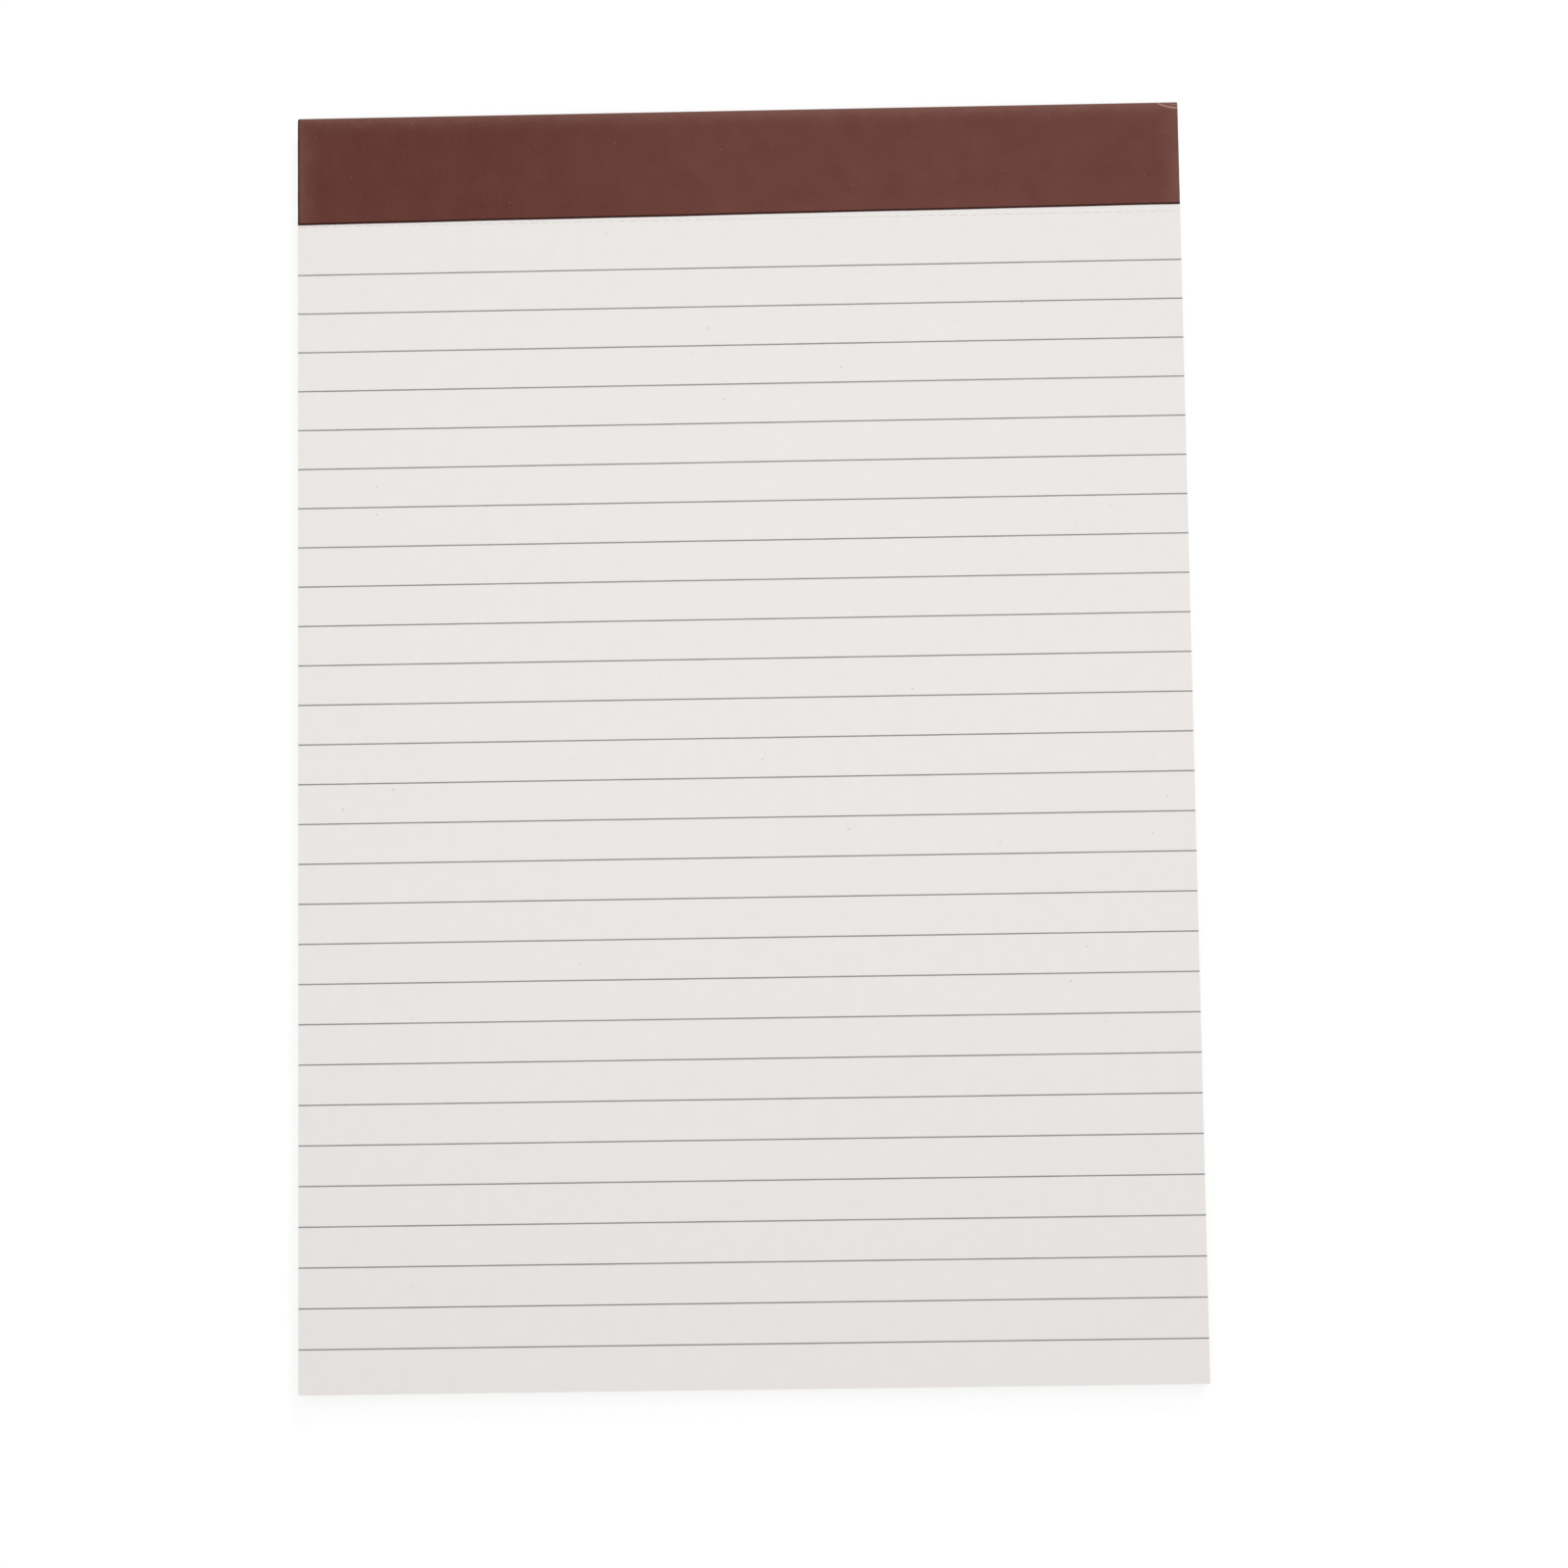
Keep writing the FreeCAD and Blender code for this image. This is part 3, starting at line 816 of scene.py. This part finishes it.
def printed_ink():
    """Thin grey ink that lets the paper's tooth through."""
    material, nodes, shader = new_material("printed_ink")
    place = nodes.place()
    tooth = nodes.group(MOTTLE, {"Place": place, "Cloud size": 0.2, "Detail": 4.0})["Tone"]
    flow = nodes.group(MOTTLE, {"Place": place, "Cloud size": 6.0, "Detail": 2.0})["Tone"]
    ink = nodes.mix(flow, srgb(142, 141, 140), srgb(152, 151, 150))
    colour = nodes.mix(nodes.ramp(tooth, 0.5, 1, 0, 0.35), ink, srgb(186, 184, 182))
    finish(
        nodes,
        shader,
        Base_Color=colour,
        Roughness=nodes.ramp(tooth, 0, 1, 0.7, 0.85),
        Normal=nodes.bump(tooth, 0.003),
        Specular_IOR_Level=0.2,
    )
    return material


def creased(nodes, place, radius, width):
    """1 on the arc of that radius about the crease's centre, and only near the tape's right end."""
    flat = nodes.vector("MULTIPLY", {0: place, 1: (1.0, 1.0, 0.0)})
    away = nodes.vector("DISTANCE", {0: flat, 1: tuple(CREASE_CENTRE)})
    off = nodes.math("ABSOLUTE", nodes.math("SUBTRACT", away, radius))
    x = nodes.add("ShaderNodeSeparateXYZ", {0: place}).outputs["X"]
    near_end = nodes.ramp(x, CREASE_START, CREASE_START + LINE_FADE)
    return nodes.math("MULTIPLY", nodes.ramp(off, width, width * 0.3), near_end)


def tape_face():
    """Dark red-brown coated paper tape: satin and finely grained, painted darker on the left and lighter
    on the right as shade and sheen, and paler on its folds and ends with painted sheen and some rubbing.
    """
    material, nodes, shader = new_material("binding_tape_face")
    place = nodes.place()
    axes = nodes.add("ShaderNodeSeparateXYZ", {0: place}).outputs
    clouds = nodes.group(MOTTLE, {"Place": place, "Cloud size": 5.0, "Detail": 4.0})["Tone"]
    grain = nodes.group(MOTTLE, {"Place": place, "Cloud size": 0.3, "Detail": 3.0})["Tone"]
    specks = nodes.group(SPECKS, {"Place": place, "Spacing": 1.6, "Radius": 0.16, "Share": 0.17})["Mask"]
    # Across the tape the colour runs from a painted shaded tone on the left to a painted sheen tone on
    # the right.
    painted_shade_tone = nodes.mix(clouds, srgb(86, 42, 33), srgb(92, 49, 41))
    painted_sheen_tone = nodes.mix(clouds, srgb(96, 51, 43), srgb(102, 59, 51))
    base = nodes.mix(nodes.ramp(axes["X"], PAINTED_SHADE_X, PAINTED_SHEEN_X, smooth=True), painted_shade_tone, painted_sheen_tone)
    grained = nodes.mix(nodes.math("MULTIPLY", grain, 0.3), base, srgb(112, 69, 60))
    # Paler over the head fold and towards the ends: a smooth painted sheen, broken up by patches of
    # rubbing.
    over_fold = nodes.ramp(axes["Y"], Y_SPINE - SHEEN_WEAR_DEPTH_START, Y_SPINE - SHEEN_WEAR_DEPTH_FULL)
    upper = nodes.ramp(axes["Z"], Z_TOP - SHEEN_WEAR_LOW, Z_TOP - SHEEN_WEAR_HIGH, smooth=True)
    fold_band = nodes.math("MULTIPLY", nodes.math("POWER", over_fold, 2.0), upper)
    from_end = nodes.math("SUBTRACT", X_SIDE, nodes.math("ABSOLUTE", axes["X"]))
    end_band = nodes.ramp(from_end, END_SHEEN_WEAR, 0.0, 0.0, 0.55, smooth=True)
    band = nodes.math("MAXIMUM", fold_band, end_band)
    rubbed = nodes.group(RUBBING, {"Place": place, "Band": band, "Patch size": 2.5})["Mask"]
    pale = nodes.math("MULTIPLY_ADD", rubbed, 0.12, nodes.math("MULTIPLY", band, 0.3))
    sheened_and_worn = nodes.mix(pale, grained, srgb(140, 102, 92))
    speckled = nodes.mix(nodes.math("MULTIPLY", specks, 0.4), sheened_and_worn, srgb(150, 118, 108))
    crease = creased(nodes, place, CREASE_RADIUS, LINE_WIDTH)
    faint = creased(nodes, place, FAINT_CREASE_RADIUS, FAINT_LINE_WIDTH)
    creases = nodes.math("MAXIMUM", crease, nodes.math("MULTIPLY", faint, 0.5))
    near_top = nodes.ramp(axes["Z"], Z_TOP - LINE_LOW, Z_TOP - LINE_HIGH)
    on_top = nodes.math("MULTIPLY", creases, near_top)
    colour = nodes.mix(nodes.math("MULTIPLY", on_top, 0.8), speckled, srgb(182, 146, 138))
    height = nodes.math("ADD", grain, nodes.math("MULTIPLY", clouds, 0.5))
    finish(
        nodes,
        shader,
        Base_Color=colour,
        Roughness=nodes.ramp(grain, 0, 1, 0.44, 0.56),
        Normal=nodes.bump(height, 0.006),
        Specular_IOR_Level=0.12,
    )
    return material


def tape_cut_and_shade():
    """The tape's cut edges, dark with dye and painted shade, and a band of painted shade beside the front
    edge and the left end.
    """
    material, nodes, shader = new_material("binding_tape_cut_and_shade")
    place = nodes.place()
    fibres = nodes.group(MOTTLE, {"Place": place, "Cloud size": 0.25, "Detail": 4.0})["Tone"]
    finish(
        nodes,
        shader,
        Base_Color=nodes.mix(fibres, srgb(38, 17, 14), srgb(60, 30, 25)),
        Roughness=nodes.ramp(fibres, 0, 1, 0.75, 0.9),
        Normal=nodes.bump(fibres, 0.01),
        Specular_IOR_Level=0.1,
    )
    return material


def ragged(nodes, place, reach, stretch):
    """The place pushed about and stretched, so that round specks turn into torn flakes."""
    noise = nodes.add("ShaderNodeTexNoise", {"Vector": place, "Scale": 1.3, "Detail": 2.0})
    centred = nodes.vector("SUBTRACT", {0: noise.outputs["Color"], 1: (0.5, 0.5, 0.5)})
    push = nodes.vector("SCALE", {0: centred, "Scale": reach})
    pushed = nodes.vector("ADD", {0: place, 1: push})
    return nodes.vector("MULTIPLY", {0: pushed, 1: stretch})


def chipboard(name, cut):
    """Grey-brown recycled board: felted fibres, dark and pale flakes; layered where it is cut."""
    material, nodes, shader = new_material(name)
    place = nodes.place()
    clouds = nodes.group(MOTTLE, {"Place": place, "Cloud size": 9.0, "Detail": 5.0})["Tone"]
    felt = nodes.group(MOTTLE, {"Place": place, "Cloud size": 0.5, "Detail": 5.0})["Tone"]
    layers = nodes.group(CUT_LAYERS, {"Place": place, "Layer": 0.12, "Length": 8.0})["Tone"]
    along = ragged(nodes, place, 1.6, (0.5, 1.0, 1.0))
    across = ragged(nodes, place, 1.6, (1.0, 0.45, 1.0))
    dark_flakes = {"Place": along, "Spacing": 1.2, "Radius": 0.3, "Share": 0.3}
    pale_flakes = {"Place": across, "Spacing": 1.5, "Radius": 0.34, "Share": 0.35}
    dark = nodes.group(SPECKS, dark_flakes)["Mask"]
    pale = nodes.group(SPECKS, pale_flakes)["Mask"]
    dark_fibres = {"Place": place, "Curl": 3.2, "Width": 0.006, "Share": 0.35}
    pale_fibres = {"Place": across, "Curl": 2.6, "Width": 0.009, "Share": 0.5}
    dark_hairs = nodes.group(FIBRES, dark_fibres)["Mask"]
    pale_hairs = nodes.group(FIBRES, pale_fibres)["Mask"]
    base = nodes.mix(clouds, srgb(151, 138, 121), srgb(166, 152, 133))
    felted = nodes.mix(nodes.math("MULTIPLY", felt, 0.5), base, srgb(137, 123, 105))
    flecked = nodes.mix(nodes.math("MULTIPLY", dark, 0.5), felted, srgb(88, 80, 73))
    flaked = nodes.mix(nodes.math("MULTIPLY", pale, 0.45), flecked, srgb(196, 188, 174))
    haired = nodes.mix(nodes.math("MULTIPLY", dark_hairs, 0.5), flaked, srgb(84, 76, 70))
    colour = nodes.mix(nodes.math("MULTIPLY", pale_hairs, 0.4), haired, srgb(206, 199, 186))
    relief = nodes.math("ADD", felt, nodes.math("MULTIPLY", pale_hairs, 0.5))
    if cut:
        colour = nodes.mix(nodes.math("MULTIPLY", layers, 0.55), colour, srgb(118, 106, 91))
        relief = nodes.math("ADD", felt, layers)
    finish(
        nodes,
        shader,
        Base_Color=colour,
        Roughness=nodes.ramp(felt, 0, 1, 0.78, 0.93),
        Normal=nodes.bump(relief, 0.02),
        Specular_IOR_Level=0.15,
    )
    return material


def staple_steel():
    """Bright galvanised wire, drawn and flattened: fine lines, slightly clouded."""
    material, nodes, shader = new_material("staple_steel")
    place = nodes.place()
    drawn = nodes.group(CUT_LAYERS, {"Place": place, "Layer": 0.04, "Length": 3.0})["Tone"]
    clouds = nodes.group(MOTTLE, {"Place": place, "Cloud size": 1.2, "Detail": 3.0})["Tone"]
    finish(
        nodes,
        shader,
        Base_Color=nodes.mix(clouds, (0.52, 0.52, 0.54, 1.0), (0.66, 0.66, 0.67, 1.0)),
        Metallic=1.0,
        Roughness=nodes.ramp(drawn, 0, 1, 0.28, 0.45),
        Normal=nodes.bump(drawn, 0.004),
    )
    return material


def shown_directly(nodes):
    """1 for what the camera sees straight, mirrored or through glass, else 0."""
    path = nodes.add("ShaderNodeLightPath", {}).outputs
    mirrored = nodes.math("MAXIMUM", path["Is Glossy Ray"], path["Is Transmission Ray"])
    return nodes.math("MAXIMUM", path["Is Camera Ray"], mirrored)


# The studio.

# The floor lies a hair under the pad, so that no face of the pad lies in it. Between the near and the far
# distance from the pad's middle it turns quite white, and nearer it keeps some of the shadow.
FLOOR_HALF = 2500.0
FLOOR_DROP = 0.02
FLOOR_GLOW = 1.07
FLOOR_WHITE = 0.75
FLOOR_NEAR, FLOOR_FAR = 170.0, 420.0
AMBIENT = 0.355

# Each lamp's place, the place that it faces, its face's two sides, and its power in watts.
LAMPS = {
    "near_lamp": ((-2, 29, 456), (-2, 29, 0), 560, 300, 1.03),
    "far_lamp": ((526, 1359, 1506), (0, 60, 0), 500, 500, 11.84),
    "low_lamp": ((0, -2400, 480), (0, 0, 0), 2400, 700, 18.0),
}

CAMERA_PLACE = Vector((17.56, -66.98, 614.85))
CAMERA_TURNS = ((5.5, "X"), (1.0, "Y"), (-0.91, "Z"))
LENS_LENGTH = 78.75
SENSOR_WIDTH = 36.0


def make_floor():
    """A plain pale floor that looks white and keeps the pad's shadow."""
    material, nodes, shader = new_material("studio_floor")
    place = nodes.place()
    tone = nodes.group(MOTTLE, {"Place": place, "Cloud size": 60.0, "Detail": 2.0})["Tone"]
    finish(
        nodes,
        shader,
        Base_Color=nodes.mix(tone, srgb(248, 248, 248), srgb(250, 250, 250)),
        Roughness=0.9,
        Specular_IOR_Level=0.0,
    )
    white = nodes.add("ShaderNodeEmission", {"Color": (1.0, 1.0, 1.0, 1.0), "Strength": FLOOR_GLOW})
    away = nodes.vector("LENGTH", {0: place})
    whiteness = nodes.ramp(away, FLOOR_NEAR, FLOOR_FAR, FLOOR_WHITE, 1.0, smooth=True)
    share = nodes.math("MULTIPLY", shown_directly(nodes), whiteness)
    both = nodes.add("ShaderNodeMixShader", {0: share, 1: shader.outputs[0], 2: white.outputs[0]})
    output = nodes.tree.nodes["Material Output"]
    nodes.tree.links.new(both.outputs[0], output.inputs["Surface"])
    mesh = bpy.data.meshes.new("studio_floor")
    half = FLOOR_HALF * MM
    corners = [(-half, -half), (half, -half), (half, half), (-half, half)]
    mesh.from_pydata([(x, y, -FLOOR_DROP * MM) for x, y in corners], [], [(0, 1, 2, 3)])
    mesh.materials.append(material)
    floor = bpy.data.objects.new("studio_floor", mesh)
    bpy.context.scene.collection.objects.link(floor)


def make_world():
    """White where it is seen, and a soft even light on the pad."""
    world = bpy.data.worlds.new("studio")
    bpy.context.scene.world = world
    world.use_nodes = True
    nodes = Nodes(world.node_tree)
    background = world.node_tree.nodes["Background"]
    background.inputs["Color"].default_value = (1.0, 1.0, 1.0, 1.0)
    strength = nodes.ramp(shown_directly(nodes), 0, 1, AMBIENT, 1.0)
    world.node_tree.links.new(strength, background.inputs["Strength"])


def add_lamp(name, place, aim, across, along, power):
    """A soft box with a rectangular face. Places and sizes are in millimetres."""
    light = bpy.data.lights.new(name, "AREA")
    light.shape = "RECTANGLE"
    light.size = across * MM
    light.size_y = along * MM
    light.energy = power
    lamp = bpy.data.objects.new(name, light)
    toward = Vector(aim) - Vector(place)
    turn = toward.to_track_quat("-Z", "Y").to_matrix().to_4x4()
    lamp.matrix_world = Matrix.Translation(Vector(place) * MM) @ turn
    lamp.visible_camera = False
    bpy.context.scene.collection.objects.link(lamp)


def make_camera():
    """The photograph's view: from above, a little to the tail's side of the middle."""
    lens = bpy.data.cameras.new("camera")
    lens.sensor_width = SENSOR_WIDTH
    lens.lens = LENS_LENGTH
    lens.clip_start = 0.01
    camera = bpy.data.objects.new("camera", lens)
    pose = Matrix.Translation(CAMERA_PLACE * MM)
    for angle, axis in CAMERA_TURNS:
        pose = pose @ Matrix.Rotation(math.radians(angle), 4, axis)
    camera.matrix_world = pose
    bpy.context.scene.collection.objects.link(camera)
    bpy.context.scene.camera = camera


PAPER = [paper_face(), paper_edge()]
BOARD = [chipboard("chipboard_face", False), chipboard("chipboard_edge", True)]
INK = printed_ink()
STEEL = staple_steel()

top_sheet = make_ruled_top_sheet(PAPER)
upper_sheets = make_upper_sheets(PAPER)
sheet_stack = make_sheet_stack(PAPER)
board = make_chipboard_back(BOARD)
cut_seats([top_sheet, upper_sheets, sheet_stack, board])
make_printed_rules([INK, INK])
make_binding_tape_strip([tape_face(), tape_cut_and_shade()])
for node in ("staple_left", "staple_right"):
    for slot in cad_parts[node].material_slots:
        slot.material = STEEL

make_floor()
make_world()
for lamp, setting in LAMPS.items():
    add_lamp(lamp, *setting)
make_camera()
bpy.context.scene.view_settings.view_transform = "Standard"
